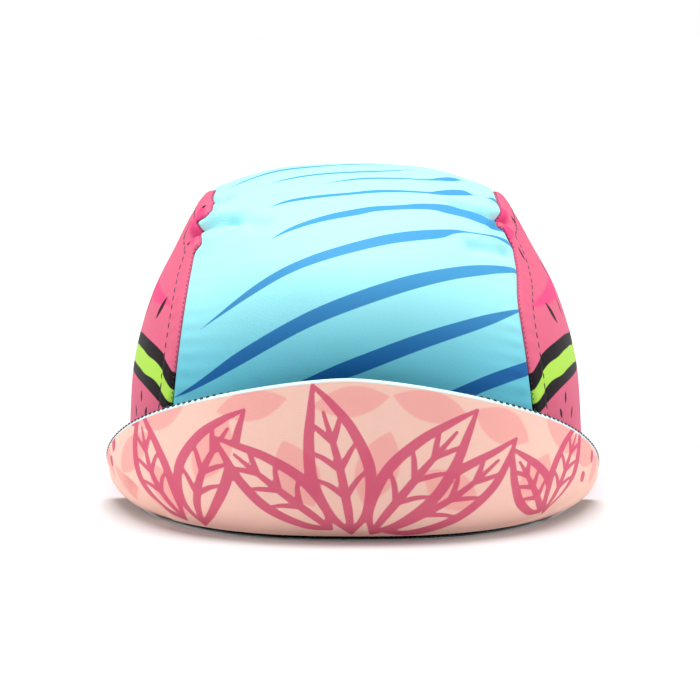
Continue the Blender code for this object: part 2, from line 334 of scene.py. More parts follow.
def slack(points):
    """Broad, shallow unevenness of soft cloth, in millimetres."""
    x, y, z = np.moveaxis(points, -1, 0)
    waves = np.sin(x / 17 + y / 29 + 0.7) + np.sin(y / 21 - z / 15 + 2.1) + np.sin(x / 11 - z / 23 + 4.0)
    return SLACK_RISE * waves / 3


def pucker(distance, along):
    """Small ripples that the stitches gather beside a seam."""
    wave = np.sin(2 * math.pi * along / PUCKER_LENGTH + 1.4 * np.sin(along / 11.0))
    return PUCKER_RISE * wave * np.exp(-distance / PUCKER_REACH) * (1 - bell(distance, 0.0, PUCKER_START))


def seam_relief(distance, along):
    roll = -SEAM_DROP * bell(distance, 0.0, SEAM_ROLL)
    return roll + PUFF * bell(distance, PUFF_AT, PUFF_WIDTH) + pucker(distance, along)


def centre_panel():
    """The panel's grid, from the front hem to the back and from the -X seam to +X, with its cloth places."""
    shares = (2 * crowded(CENTRE_COLUMNS) - 1) * (1 - SEAM_GAP / 2 / SEAM_AT_TOP)
    shares_along = np.linspace(0, 1, CENTRE_ROWS + 1)
    taut = np.stack([crown_line(share, shares_along) for share in shares], axis=1)
    middle = taut[:, CENTRE_COLUMNS // 2]
    length = np.linalg.norm(np.diff(middle, axis=0), axis=1).sum()
    share = np.broadcast_to(shares, taut.shape[:2])
    along = np.broadcast_to(shares_along[:, None] * length, taut.shape[:2])
    half_width = seam_half_width(taut[..., 2])
    to_seam = (1 - np.abs(share)) * half_width
    to_hem = np.minimum(along, length - along)
    relief = seam_relief(to_seam, along + 3.0 * share) + slack(taut)
    relief += hem_relief(to_hem)
    outer, inner = slackened(taut, relief), slackened(taut, relief - CLOTH_SHOWN)
    return outer, inner, share, along, share * half_width


def hem_relief(to_hem):
    return -0.5 * bell(to_hem, 0.0, 0.8) - 0.25 * bell(to_hem, HEM_STITCH_AT, GROOVE_WIDTH)


def side_panel(side):
    """A patch with the hem below, and the seam as its front, top and back edges. side is 1 or -1."""
    outwards = np.array([side, 1.0, 1.0])
    share = side * (1 + SEAM_GAP / 2 / SEAM_AT_TOP)
    steps = crowded(SIDE_STEPS)
    parts = ((0.0, SIDE_TOP_FROM), (SIDE_TOP_FROM, 1 - SIDE_TOP_FROM), (1 - SIDE_TOP_FROM, 1.0))
    front, top, back = (crown_line(share, low + (high - low) * steps) * outwards for low, high in parts)
    back = back[::-1]
    hem = hem_line(front[0, 1], back[0, 1], steps)
    u, v = steps[None, :, None], steps[:, None, None]
    across = (1 - u) * front[:, None] + u * back[:, None]
    upright = (1 - v) * hem[None] + v * top[None]
    corners = (1 - v) * ((1 - u) * hem[0] + u * hem[-1]) + v * ((1 - u) * top[0] + u * top[-1])
    patch = across + upright - corners
    grid = side_point(patch[..., 1], patch[..., 2])
    grid[-1], grid[:, 0], grid[:, -1] = top, front, back
    seam = np.concatenate([front, top[1:], back[::-1][1:]])
    to_seam, place = nearest(grid, seam)
    step = np.hypot(np.diff(grid[..., 0], axis=0), np.diff(grid[..., 2], axis=0))
    climb = np.concatenate([np.zeros((1, grid.shape[1])), np.cumsum(step, axis=0)])
    relief = seam_relief(to_seam, place)
    relief += ALLOWANCE_RISE * smoothstep(TOPSTITCH_AT + 1.2, TOPSTITCH_AT - 0.4, to_seam)
    relief -= GROOVE_DEPTH * bell(to_seam, TOPSTITCH_AT, GROOVE_WIDTH)
    relief += 0.6 * pucker(np.abs(to_seam - TOPSTITCH_AT), place + 2.0)
    grid = grid * outwards
    relief += hem_relief(climb) + slack(grid)
    outer, inner = slackened(grid, relief), slackened(grid, relief - CLOTH_SHOWN)
    return outer, inner, climb, to_seam, place


def nearest(grid, line):
    """Each grid point's distance to a line, and how far along the line that is."""
    steps = np.linalg.norm(np.diff(line, axis=0), axis=1)
    along = np.concatenate([[0.0], np.cumsum(steps)])
    points = grid.reshape(-1, 3)
    best = np.full(len(points), FAR)
    place = np.zeros(len(points))
    for start, end, run in zip(line[:-1], line[1:], along):
        step = end - start
        share = np.clip((points - start) @ step / max(step @ step, 1e-9), 0, 1)
        away = np.linalg.norm(points - start - share[:, None] * step, axis=1)
        closer = away < best
        best[closer] = away[closer]
        place[closer] = (run + share * np.linalg.norm(step))[closer]
    return best.reshape(grid.shape[:-1]), place.reshape(grid.shape[:-1])


def oval(inset, height, count):
    """A closed ring of the crown at a height, drawn in by inset, counted round from the back."""
    turn = np.linspace(0, 2 * math.pi, count, endpoint=False)
    at = ring(level_of(height))
    power = 2 / at["squareness"]
    across = np.sign(np.sin(turn)) * np.abs(np.sin(turn)) ** power
    along = np.sign(np.cos(turn)) * np.abs(np.cos(turn)) ** power
    length = np.where(along < 0, at["front"], at["back"]) - inset
    x = (at["half_width"] - inset) * across
    return np.stack([x, APEX_Y + length * along, np.full(count, height)], axis=1)


# Peak shape


def hem_frame(along):
    """The hem's outer points at distances from the middle of its front, and the outward directions there."""
    hem = oval(0.0, HEM_HEIGHT, 2 * FINE)[:, :2]
    steps = np.linalg.norm(np.roll(hem, -1, axis=0) - hem, axis=1)
    run = np.concatenate([[0.0], np.cumsum(steps)[:-1]])
    run = run[FINE] - run

    def point(distance):
        return np.stack([np.interp(-distance, -run, hem[:, k]) for k in (0, 1)], axis=-1)

    ahead = point(along + HEM_STEP) - point(along - HEM_STEP)
    return point(along), unit(np.stack([ahead[..., 1], -ahead[..., 0]], axis=-1))


def peak_side(name, along):
    left, right = (side[name] for side in named(PEAK_SIDE_COLUMNS, PEAK_SIDES))
    blend = np.clip(along / PEAK_REACH, -1, 1) / 2 + 0.5
    return left + (right - left) * blend**2 * (3 - 2 * blend)


def peak_out(along, rise):
    side = np.abs(along) / PEAK_REACH
    belly = PEAK_BELLY_OUT + (peak_side("tip_out", along) - PEAK_BELLY_OUT) * side**2
    swell = belly * (1 - np.clip(1 - rise / PEAK_BELLY_RISE, 0, 1) ** BELLY_POWER)
    above_belly = np.clip(rise - PEAK_BELLY_RISE, 0, None) / PEAK_RISE
    lean = PEAK_LEAN_BACK * (1 - side**2) * above_belly**LEAN_POWER
    return PEAK_FOOT_OUT + swell - lean


def peak_edges(share):
    """How far the peak's lower and free edges rise, at shares of its reach from -1 to 1."""
    along = PEAK_REACH * share
    beyond = np.clip((np.abs(along) - PEAK_SEAM_REACH) / (PEAK_REACH - PEAK_SEAM_REACH), 0, 1)
    tip_rise = peak_side("tip_rise", along)
    lower = tip_rise * (1 - (1 - beyond ** TIP_POWERS[0]) ** TIP_POWERS[1])
    skewed = share + PEAK_SKEW * (1 - share**2)
    arch = (1 - np.abs(skewed) ** EDGE_POWER) ** peak_side("flatness", along)
    return lower, tip_rise + (PEAK_RISE - tip_rise) * arch


def crease_depth(along, rise):
    total = np.zeros(along.shape)
    for crease in named(CREASE_COLUMNS, CREASES):
        start, run = np.array(crease["start"]), np.array(crease["end"]) - np.array(crease["start"])
        places = np.stack([along, rise], axis=-1) - start
        share = np.clip(places @ run / (run @ run), 0.0, 1.0)
        away = np.linalg.norm(places - share[..., None] * run, axis=-1)
        total += crease["depth"] * bell(away, 0.0, crease["width"])
    return total


def peak_place(along, rise):
    base, outward = hem_frame(along)
    place = base + outward * (peak_out(along, rise) - crease_depth(along, rise))[..., None]
    return np.concatenate([place, (rise + PEAK_FOOT_RISE)[..., None]], axis=-1)


def peak_face():
    """The under face, the strip below it that rolls in to the hem, and the points' places on the cloth."""
    even = np.linspace(-1, 1, PEAK_COLUMNS + 1)
    share = 0.6 * np.sin(even * math.pi / 2) + 0.4 * even
    lower, upper = peak_edges(share)
    height = upper - lower
    upper = upper - RIM_RADIUS * smoothstep(0.0, 4 * RIM_RADIUS, height)
    v = np.linspace(0, 1, PEAK_ROWS + 1)[:, None]
    rise = lower + (upper - lower) * v
    along = np.broadcast_to(PEAK_REACH * share, rise.shape)
    face = peak_place(along, rise)
    base, outward = hem_frame(along[0])
    foot = np.concatenate([base + outward * 0.4, np.full((len(share), 1), 1.4)], axis=-1)
    turn = np.linspace(0, 1, PEAK_STRIP_ROWS, endpoint=False)[:, None, None] * math.pi / 2
    out_part = foot[None, :, :2] + (face[0, :, :2] - foot[:, :2])[None] * np.sin(turn)
    up_part = foot[None, :, 2:] + (face[0, :, 2:] - foot[:, 2:])[None] * (1 - np.cos(turn))
    strip = np.concatenate([out_part, up_part], axis=-1)
    strip_rise = lower - (PEAK_FOOT_RISE + lower) * (1 - turn[..., 0] / (math.pi / 2))
    grid = np.concatenate([strip, face])
    return grid, np.broadcast_to(along[0], grid.shape[:2]), np.concatenate([strip_rise, rise])


def grid_normals(grid):
    normals = np.cross(np.gradient(grid, axis=1), np.gradient(grid, axis=0))
    normals[:, 0], normals[:, -1] = normals[:, 1], normals[:, -2]
    return unit(normals)


# Prints. Each field gives the millimetres from a point of the cloth to the nearest edge, negative inside.

# Each stripe runs through nodes with a share of the half width, a distance along the cloth and a width
STRIPES = (
    ((-0.58, 157.0, 0.0), (-0.45, 162.5, 2.4), (-0.17, 170.0, 3.6), (0.28, 177.0, 3.2), (0.48, 190.0, 0.0)),
    ((-0.23, 150.0, 0.0), (0.06, 158.0, 2.6), (0.34, 160.0, 2.4), (0.52, 162.5, 2.6), (0.61, 168.0, 6.0),
     (0.71, 177.0, 11.0), (0.79, 186.0, 0.0)),
    ((-0.56, 128.0, 0.0), (-0.38, 133.0, 2.8), (0.0, 137.5, 2.8), (0.17, 140.0, 3.4), (0.50, 142.5, 2.2),
     (0.60, 145.0, 5.4), (0.71, 150.5, 9.0), (0.81, 156.5, 8.0), (0.87, 160.0, 1.6), (0.93, 163.0, 4.5),
     (1.0, 168.0, 9.0)),
    ((-0.50, 105.0, 0.0), (-0.36, 110.6, 2.6), (-0.14, 117.3, 4.6), (0.06, 121.5, 5.0), (0.16, 123.6, 4.2),
     (0.33, 125.5, 3.8), (0.46, 127.5, 5.0), (0.56, 128.6, 6.0), (0.69, 128.6, 9.0), (1.0, 130.0, 11.0)),
    ((-0.88, 72.5, 0.0), (-0.61, 82.8, 3.0), (-0.37, 90.5, 3.8), (-0.12, 96.5, 4.4), (0.22, 103.2, 5.0),
     (0.56, 108.6, 5.0), (0.69, 112.0, 2.6), (0.79, 114.3, 0.8), (0.91, 117.3, 1.2), (1.0, 119.5, 3.4)),
    ((-1.0, 46.8, 0.0), (-0.80, 54.0, 3.4), (-0.61, 60.7, 5.4), (-0.22, 72.3, 5.6), (0.27, 83.3, 5.7),
     (0.56, 90.0, 5.1), (0.79, 96.5, 4.6), (1.0, 104.5, 2.6)),
    ((-0.31, 50.5, 0.0), (-0.15, 53.0, 3.6), (-0.03, 55.0, 5.6), (0.18, 59.7, 5.8), (0.60, 69.9, 5.1),
     (0.82, 76.6, 4.1), (1.0, 83.6, 1.2)),
    ((0.30, 42.0, 0.0), (0.58, 47.5, 4.6), (0.75, 52.5, 5.2), (1.0, 60.2, 5.4)),
)

# Plainer stripes where the photo doesn't look: behind the peak, and over the back
BACK_STRIPE_COLUMNS = ("start_share", "start_along", "end_share", "end_along", "bow", "width")
BACK_STRIPES = (
    (-1.0, 10.0, 0.05, 34.0, 3.0, 5.5),
    (0.0, 8.0, 1.0, 34.0, 3.0, 5.5),
    (-0.90, 173.0, 0.20, 203.0, 4.0, 6.0),
    (-0.15, 197.0, 1.0, 224.0, 5.0, 8.0),
    (-1.0, 199.0, 0.50, 236.0, 5.0, 8.0),
    (-0.05, 230.0, 1.0, 258.0, 4.0, 7.0),
    (-0.95, 231.0, 0.60, 268.0, 5.0, 8.0),
    (-0.30, 264.0, 1.0, 292.0, 4.0, 7.0),
    (-1.0, 268.0, 0.35, 300.0, 4.0, 7.0),
    (0.0, 300.0, 1.0, 325.0, 3.0, 6.0),
    (-0.90, 304.0, 0.60, 338.0, 4.0, 7.0),
    (-0.40, 339.0, 0.95, 354.0, 2.0, 5.0),
)


def stripe_shapes(share, along):
    """Each stripe as an array of across, ends and half width at every point of the cloth."""
    lines = []
    for rows in STRIPES:
        lines.append(smooth_columns(rows, np.linspace(0, len(rows) - 1, 40 * len(rows))).T)
    for stripe in named(BACK_STRIPE_COLUMNS, BACK_STRIPES):
        part = np.linspace(0, 1, 120)
        x = stripe["start_share"] + (stripe["end_share"] - stripe["start_share"]) * part
        y = stripe["start_along"] + (stripe["end_along"] - stripe["start_along"]) * part
        y += 4 * stripe["bow"] * part * (1 - part)
        lines.append((x, y, stripe["width"] * np.sin(math.pi * part**0.8) ** 0.8))
    shapes = []
    for x, y, width in lines:
        slope = np.gradient(y) / np.maximum(np.gradient(x) * SEAM_AT_TOP, 1e-6)
        narrowing = np.interp(share, x, np.cos(np.arctan(slope)))
        past = share - np.clip(share, x[0], x[-1])
        middle = np.interp(share, x, y) + np.interp(share, x, slope) * SEAM_AT_TOP * past
        beyond = np.maximum(np.maximum(x[0] - share, share - x[-1]), 0) * SEAM_AT_TOP
        half = np.interp(share, x, width) / 2 * narrowing - beyond
        shapes.append(np.stack([(along - middle) * narrowing, np.zeros_like(half), half], axis=-1))
    return shapes


# The rind band: its place from front to back, its top, the lime's top and bottom, and its own bottom
RIND = (
    (-70.0, 46.5, 41.0, 37.5, 34.0),
    (-62.0, 51.5, 46.5, 41.5, 37.0),
    (-54.0, 55.3, 50.5, 44.8, 40.0),
    (-42.0, 57.0, 52.3, 46.0, 42.0),
    (-24.0, 57.2, 52.5, 46.2, 42.5),
    (0.0, 55.0, 50.8, 44.6, 41.5),
    (24.0, 56.8, 51.8, 45.4, 41.0),
    (48.0, 58.0, 53.2, 46.2, 42.0),
    (68.0, 54.5, 49.8, 43.6, 39.4),
    (90.0, 49.0, 44.5, 39.0, 35.0),
)

LENS_COLUMNS = ("y", "climb", "lean", "length", "width")
SEEDS = (
    (-12.0, 66.0, 15.0, 8.0, 2.6),
    (2.0, 79.0, -25.0, 8.5, 2.6),
    (17.0, 92.0, 30.0, 7.5, 2.4),
    (18.0, 68.0, -12.0, 8.0, 2.6),
    (34.0, 81.0, 22.0, 8.0, 2.5),
    (46.0, 69.0, -30.0, 8.5, 2.6),
    (56.0, 84.0, -10.0, 7.0, 2.3),
    (62.0, 66.0, 28.0, 7.5, 2.4),
    (-48.0, 33.0, -30.0, 4.5, 1.9),
    (-42.0, 37.5, 12.0, 4.5, 2.0),
    (-45.0, 22.0, -30.0, 5.5, 1.9),
    (-34.5, 31.0, 35.0, 5.0, 2.0),
    (-27.0, 18.0, -10.0, 6.0, 2.0),
    (-10.0, 28.0, 20.0, 6.0, 2.0),
    (3.0, 14.0, -28.0, 5.5, 1.9),
    (16.0, 30.0, -15.0, 6.0, 2.0),
    (29.0, 18.0, 25.0, 5.5, 1.9),
    (42.0, 31.0, 5.0, 6.0, 2.0),
    (56.0, 17.0, -22.0, 5.5, 1.9),
    (67.0, 28.0, 18.0, 5.5, 1.9),
)
FRONT_SEEDS = {
    -1: (
        (-40.0, 68.8, -22.0, 9.5, 3.2),
        (-29.0, 92.5, 70.0, 10.0, 3.0),
        (-15.4, 105.7, 70.0, 6.0, 2.4),
    ),
    1: (
        (-32.5, 66.4, -35.0, 10.5, 3.2),
        (-11.3, 99.2, 20.0, 6.0, 3.0),
        (-31.0, 87.0, 10.0, 4.5, 1.8),
    ),
}

FLESH_STREAKS = (
    (0.0, 73.2, 87.3, 102.0, 7.0),
    (-25.0, 98.5, 61.0, 30.0, 8.0),
    (20.0, 90.0, -72.0, 34.0, 5.0),
    (52.0, 92.0, 65.0, 28.0, 5.0),
    (64.0, 76.0, 84.0, 20.0, 4.0),
    (-40.0, 26.0, -76.0, 20.0, 3.5),
    (-6.0, 20.0, 82.0, 30.0, 4.0),
    (36.0, 25.0, -80.0, 26.0, 4.0),
    (62.0, 22.0, 78.0, 18.0, 3.5),
)


def lens_shapes(x, y, rows):
    """Pointed ovals, leaning by so many degrees from upright, as arrays of across, ends and half width."""
    shapes = []
    for shape in named(LENS_COLUMNS, rows):
        lean = math.radians(shape["lean"])
        dx, dy = x - shape["y"], y - shape["climb"]
        along = (dx * math.sin(lean) + dy * math.cos(lean)) / (shape["length"] / 2)
        across = dx * math.cos(lean) - dy * math.sin(lean)
        shapes.append(np.stack([across, along, np.full(x.shape, shape["width"] / 2)], axis=-1))
    return shapes


def shape_fields(shapes):
    """The millimetres outside the nearest of the shapes, negative inside."""
    fields = [np.abs(shape[..., 0]) - shape[..., 2] * (1 - shape[..., 1] ** 2) for shape in shapes]
    return np.min(fields, axis=0)


def rind_fields(y, climb):
    rows = np.array(RIND)
    smooth = smooth_columns(rows, np.linspace(0, len(rows) - 1, 200))
    top, lime_top, lime_bottom, bottom = (np.interp(y, smooth[:, 0], smooth[:, k]) for k in range(1, 5))
    wobble = 0.5 * np.sin(y / 5.3) + 0.3 * np.sin(y / 2.9 + 1.0)
    dark = np.abs(climb - (top + bottom) / 2) - (top - bottom) / 2
    lime = np.abs(climb - (lime_top + lime_bottom) / 2 - 0.4 * wobble) - (lime_top - lime_bottom) / 2
    return dark, lime


# The peak's print: sprays in tapering strokes over petals. Places are along the hem and up the cloth.

# A leaf's lines, by share along it and share of its stroke
LEAF_SIDE = ((0.0, 0.5), (0.15, 0.85), (0.4, 1.1), (0.65, 1.0), (0.85, 0.75), (1.0, 0.35))
MIDRIB = ((0.02, 0.6), (0.2, 0.9), (0.5, 0.75), (0.82, 0.36))
VEIN_SHARES = (0.26, 0.44, 0.62)
# A vein's steps: further along the leaf, share of its width, share of its stroke
VEIN_STEPS = ((0.0, 0.0, 0.6), (0.09, 0.45, 0.55), (0.14, 0.8, 0.36))
LEAF_STEPS = 60
LEAF_COLUMNS = ("x", "y", "heading", "bend", "length", "width", "stroke")
LEAVES = (
    (-57.0, 1.0, 122.0, -22.0, 40.0, 15.0, 3.0),
    (-50.0, 0.0, 84.0, -34.0, 46.0, 16.0, 3.1),
    (10.0, 1.0, 26.0, 22.0, 50.0, 15.0, 3.0),
    (-6.0, 2.0, 136.0, 6.0, 46.0, 15.0, 3.0),
    (6.0, 0.0, 60.0, -14.0, 52.0, 17.0, 3.2),
    (0.0, 0.0, 94.0, 18.0, 52.0, 18.0, 3.3),
    (66.0, 3.0, 132.0, -16.0, 30.0, 12.0, 2.7),
    (68.0, 2.0, 84.0, -36.0, 34.0, 13.0, 2.7),
)

DOTS = (
    (-96.0, 15.0, 40.0, 6.0, 3.2),
    (-91.0, 22.0, 24.0, 7.0, 3.4),
    (-74.0, 33.0, 60.0, 6.0, 3.0),
    (86.0, 12.0, -40.0, 6.0, 3.2),
    (92.0, 18.0, -20.0, 5.5, 3.0),
)

PETALS = (
    (-100.0, 14.0, 20.0, 15.0, 9.0),
    (-88.0, 9.0, -35.0, 14.0, 8.0),
    (-76.0, 22.0, 48.0, 26.0, 10.0),
    (-62.0, 38.0, 62.0, 24.0, 11.0),
    (-60.0, 12.0, -30.0, 20.0, 12.0),
    (-42.0, 28.0, 25.0, 24.0, 12.0),
    (-30.0, 44.0, 75.0, 22.0, 10.0),
    (-16.0, 22.0, -22.0, 24.0, 13.0),
    (0.0, 46.0, 82.0, 24.0, 10.0),
    (8.0, 24.0, 18.0, 26.0, 13.0),
    (24.0, 44.0, -70.0, 24.0, 10.0),
    (30.0, 16.0, -48.0, 22.0, 12.0),
    (46.0, 36.0, -55.0, 22.0, 11.0),
    (58.0, 16.0, 30.0, 20.0, 12.0),
    (70.0, 30.0, -42.0, 24.0, 9.0),
    (84.0, 21.0, -60.0, 22.0, 9.0),
    (98.0, 12.0, -35.0, 14.0, 8.0),
)


def stroke_field(x, y, nodes):
    """The field of one tapering stroke through its nodes, each with a place and a width."""
    line = smooth_columns(nodes, np.linspace(0, len(nodes) - 1, 24 * len(nodes)))
    field = np.full(x.shape, FAR)
    for along, up, width in line:
        field = np.minimum(field, np.hypot(x - along, y - up) - max(width, 0.1) / 2)
    return field


def leaf_spine(leaf):
    """Points along a bent leaf's middle, the directions to its left there, and half of its width."""
    share = np.linspace(0, 1, LEAF_STEPS)
    heading = np.radians(leaf["heading"] + leaf["bend"] * share)
    steps = np.stack([np.cos(heading), np.sin(heading)], axis=1) * leaf["length"] / (LEAF_STEPS - 1)
    points = np.array([leaf["x"], leaf["y"]]) + np.cumsum(steps, axis=0)
    left = np.stack([-np.sin(heading), np.cos(heading)], axis=1)
    return share, points, left, leaf["width"] / 2 * np.sin(math.pi * share**0.8)


def leaf_strokes(leaf):
    """A leaf's two sides, its midrib and its veins, each a list of stroke nodes."""
    shares, points, left, half = leaf_spine(leaf)

    def node(share, side, width):
        place = [np.interp(share, shares, points[:, k] + side * half * left[:, k]) for k in (0, 1)]
        return (place[0], place[1], width * leaf["stroke"])

    strokes = [[node(share, 0, width) for share, width in MIDRIB]]
    for side in (-1, 1):
        strokes.append([node(share, side, width) for share, width in LEAF_SIDE])
        for share in VEIN_SHARES:
            strokes.append([node(share + step, side * out, width) for step, out, width in VEIN_STEPS])
    return strokes


def leaf_inside(x, y, leaf):
    """The millimetres outside a leaf's outline, negative inside."""
    field = np.full(x.shape, FAR)
    for share, point, left, half in zip(*leaf_spine(leaf)):
        field = np.minimum(field, np.hypot(x - point[0], y - point[1]) - half)
    return field


def peak_strokes(x, y):
    """Leaves overlap, so each leaf's outline hides what lies behind it."""
    field = np.full(x.shape, FAR)
    for leaf in named(LEAF_COLUMNS, LEAVES):
        own = np.full(x.shape, FAR)
        for nodes in leaf_strokes(leaf):
            own = np.minimum(own, stroke_field(x, y, nodes))
        field = np.minimum(np.maximum(field, -leaf_inside(x, y, leaf)), own)
    return np.minimum(field, shape_fields(lens_shapes(x, y, DOTS)))


# Meshes


def quads(rows, columns, closed, flip):
    across = columns if closed else columns - 1
    row, column = np.meshgrid(np.arange(rows - 1), np.arange(across), indexing="ij")
    after = (column + 1) % columns
    start, end = row * columns, (row + 1) * columns
    faces = np.stack([start + column, start + after, end + after, end + column], axis=-1).reshape(-1, 4)
    return faces[:, ::-1] if flip else faces


def make_mesh(name, points, faces, materials, fields=()):
    """A smooth mesh from points in millimetres. fields are (name, numbers or triples) pairs."""
    mesh = bpy.data.meshes.new(name)
    mesh.from_pydata((points * MM).tolist(), [], faces)
    for field, values in fields:
        triple = values.ndim == 2
        layer = mesh.attributes.new(field, "FLOAT_VECTOR" if triple else "FLOAT", "POINT")
        layer.data.foreach_set("vector" if triple else "value", values.astype(np.float32).ravel())
    for material in materials:
        mesh.materials.append(material)
    mesh.shade_smooth()
    piece = bpy.data.objects.new(name, mesh)
    bpy.context.scene.collection.objects.link(piece)
    return piece


def nearest_shapes(faces, shapes):
    """For each face, its corners' values of the one shape that comes nearest to it."""
    chosen = np.zeros(faces.shape + (3,))
    best = np.full(len(faces), FAR)
    for shape in shapes:
        values = shape.reshape(-1, 3)[faces]
        away = (np.abs(values[..., 0]) - values[..., 2] * (1 - values[..., 1] ** 2)).min(axis=1)
        closer = away < best
        best[closer] = away[closer]
        chosen[closer] = values[closer]
    return chosen


def make_shell(name, outer, inner, materials, fields=(), shapes=(), flip=False):
    """Cloth between two grids of points. materials are the outer side's and the inner side's.

    fields are (name, values on the grid) pairs. shapes are (name, list of printed shapes) pairs, kept at the
    corners of the faces, so that each face knows one shape and its edge stays crisp.
    """
    rows, columns = outer.shape[:2]
    count = rows * columns
    number = np.arange(count).reshape(rows, columns)
    front = quads(rows, columns, False, flip)
    behind = quads(rows, columns, False, not flip) + count
    border = np.concatenate([number[0], number[1:, -1], number[-1, -2::-1], number[-2:0:-1, 0]])
    ahead = np.roll(border, -1)
    rim = np.stack([ahead, border, border + count, ahead + count], axis=1)
    if flip:
        rim = rim[:, ::-1]
    doubled = []
    for field, values in fields:
        flat = values.reshape((count, 3) if values.ndim == 3 else count)
        doubled.append((field, np.concatenate([flat, flat])))
    points = np.concatenate([outer.reshape(-1, 3), inner.reshape(-1, 3)])
    piece = make_mesh(name, points, np.concatenate([front, behind, rim]).tolist(), materials, doubled)
    mesh = piece.data
    sides = np.concatenate([np.zeros(len(front)), np.ones(len(behind)), np.zeros(len(rim))])
    mesh.polygons.foreach_set("material_index", sides.astype(np.int32))
    for field, printed in shapes:
        values = np.full((len(mesh.polygons), 4, 3), [FAR, 0.0, 0.0])
        values[: len(front)] = nearest_shapes(front, printed)
        layer = mesh.attributes.new(field, "FLOAT_VECTOR", "CORNER")
        layer.data.foreach_set("vector", values.astype(np.float32).ravel())
    mesh.set_sharp_from_angle(angle=RIM_ANGLE)
    weld = piece.modifiers.new("weld_tips", "WELD")
    weld.merge_threshold = WELD_DISTANCE * MM
    return piece


def contour(outer, inner, field, level, order):
    """The points where a field on a grid crosses a level, put in order, and the outward directions there."""
    everything = np.concatenate([outer, unit(outer - inner), order[..., None], field[..., None]], axis=-1)
    found = []
    for axis in (0, 1):
        values = np.moveaxis(everything, axis, 0)
        low, high = values[:-1], values[1:]
        crossing = (low[..., -1] - level) * (high[..., -1] - level) < 0
        low, high = low[crossing], high[crossing]
        share = (level - low[:, -1]) / (high[:, -1] - low[:, -1])
        found.append(low + share[:, None] * (high - low))
    found = np.concatenate(found)
    found = found[np.argsort(found[:, 6])]
    return found[:, :3], found[:, 3:6]


def cloth_places(across, along):
    return np.stack([across, along, np.zeros_like(across)], axis=-1)


def stitches(name, points, outward, row, material):
    """A row of arched stitches along a line of points, lying on the side that outward gives."""
    length, pitch, radius = row
    steps = np.linalg.norm(np.diff(points, axis=0), axis=1)
    run = np.concatenate([[0.0], np.cumsum(steps)])
    starts = np.arange(pitch / 2, run[-1] - length, pitch)
    parts = np.array([0.0, 0.12, 0.35, 0.65, 0.88, 1.0])
    girth = np.array([0.35, 0.85, 1.0, 1.0, 0.85, 0.35]) * radius
    arch = 0.5 * radius * np.sin(math.pi * parts)
    turn = np.linspace(0, 2 * math.pi, STITCH_SIDES, endpoint=False)
    all_points, all_faces = [], []
    for start in starts:
        wanted = start + parts * length
        centre = np.stack([np.interp(wanted, run, points[:, k]) for k in range(3)], axis=1)
        out = unit(np.stack([np.interp(wanted, run, outward[:, k]) for k in range(3)], axis=1))
        aside = unit(np.cross(np.gradient(centre, axis=0), out))
        centre = centre + out * arch[:, None]
        rings = centre[:, None] + girth[:, None, None] * (
            np.cos(turn)[None, :, None] * out[:, None] + np.sin(turn)[None, :, None] * aside[:, None]
        )
        first = len(all_points) * rings.size // 3
        all_points.append(rings.reshape(-1, 3))
        all_faces += (quads(len(parts), STITCH_SIDES, True, False) + first).tolist()
        all_faces.append([first + k for k in range(STITCH_SIDES)][::-1])
        all_faces.append([first + (len(parts) - 1) * STITCH_SIDES + k for k in range(STITCH_SIDES)])
    piece = make_mesh(name, np.concatenate(all_points), all_faces, [material])
    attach(piece, "root")
    return piece


# Materials


def linear(red, green, blue):
    """A colour as read off a screen, 0 to 255, in Blender's linear values."""
    levels = (red, green, blue)
    return tuple(((v / 255 + 0.055) / 1.055) ** 2.4 if v > 10 else v / 255 / 12.92 for v in levels) + (1.0,)


def add(tree, kind, settings=(), **inputs):
    """A node with some settings and inputs. An input that is a socket is linked, and any other is a value."""
    made = tree.nodes.new(kind)
    for name, value in dict(settings).items():
        setattr(made, name, value)
    for name, value in inputs.items():
        socket = made.inputs[int(name[2:])] if name.startswith("in") else made.inputs[name.replace("_", " ")]
        if isinstance(value, bpy.types.NodeSocket):
            tree.links.new(value, socket)
        else:
            socket.default_value = value
    return made


def maths(tree, operation, first, second=0.0):
    return add(tree, "ShaderNodeMath", {"operation": operation}, in0=first, in1=second).outputs[0]


def mixed(tree, factor, first, second, blend="MIX"):
    settings = {"data_type": "RGBA", "blend_type": blend}
    return add(tree, "ShaderNodeMix", settings, in0=factor, in6=first, in7=second).outputs[2]


def edge_mask(tree, distance, softness):
    """1 inside a print's shapes and 0 outside, over an edge of the given softness in millimetres."""
    node = add(
        tree,
        "ShaderNodeMapRange",
        {"interpolation_type": "SMOOTHSTEP"},
        Value=distance,
        From_Min=-softness,
        From_Max=softness,
        To_Min=1.0,
        To_Max=0.0,
    )
    return node.outputs["Result"]


def field_mask(tree, name, softness):
    distance = add(tree, "ShaderNodeAttribute", {"attribute_name": name}).outputs["Fac"]
    return edge_mask(tree, distance, softness)


def shape_mask(tree, name, softness):
    """The same for printed shapes, whose across, ends and half width are kept at the corners of the faces."""
    values = add(tree, "ShaderNodeAttribute", {"attribute_name": name}).outputs["Vector"]
    split = add(tree, "ShaderNodeSeparateXYZ", {}, in0=values)
    across, ends, half = split.outputs
    left = maths(tree, "SUBTRACT", 1.0, maths(tree, "MULTIPLY", ends, ends))
    distance = maths(tree, "SUBTRACT", maths(tree, "ABSOLUTE", across), maths(tree, "MULTIPLY", half, left))
    return edge_mask(tree, distance, softness)


